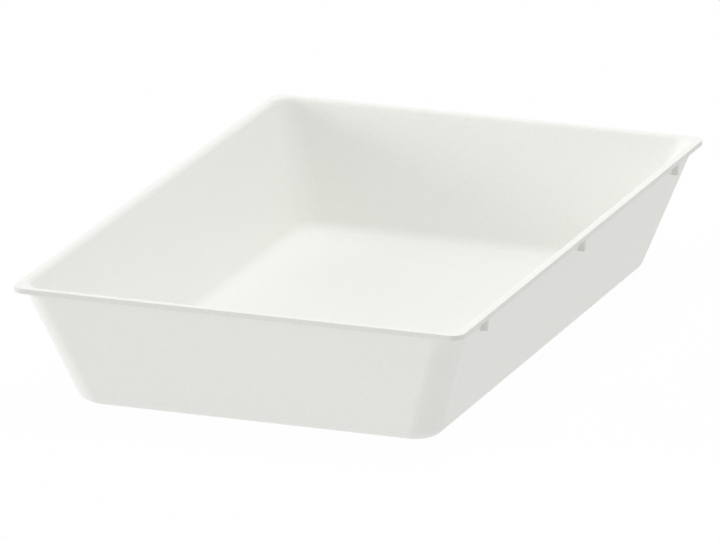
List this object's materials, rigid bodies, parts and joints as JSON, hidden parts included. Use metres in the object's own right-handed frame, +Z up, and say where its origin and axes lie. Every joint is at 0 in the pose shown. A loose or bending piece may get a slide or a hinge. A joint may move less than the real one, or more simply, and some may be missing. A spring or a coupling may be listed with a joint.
{
  "type": "developing tray",
  "caption": "Deep white plastic tray with leaning walls, rounded corners, a flat rim and small lugs under the long rims that keep nested trays from jamming.",
  "frame": {"origin": "under the middle of the base, on the surface the tray stands on", "axes": "+Y along the tray's length, away from the end that the picture shows nearest; +X across it, to the right; +Z up through the open top"},
  "size_m": [0.38, 0.594, 0.104],
  "materials": {
    "tray_plastic": "fine even moulded grain, off-white, slight satin sheen"
  },
  "bodies": {
    "root": {"tray_pan": "tray_plastic", "rim_flange": "tray_plastic", "lug_left_front": "tray_plastic", "lug_left_middle": "tray_plastic", "lug_left_rear": "tray_plastic", "lug_right_front": "tray_plastic", "lug_right_middle": "tray_plastic", "lug_right_rear": "tray_plastic"}
  },
  "joints": []
}
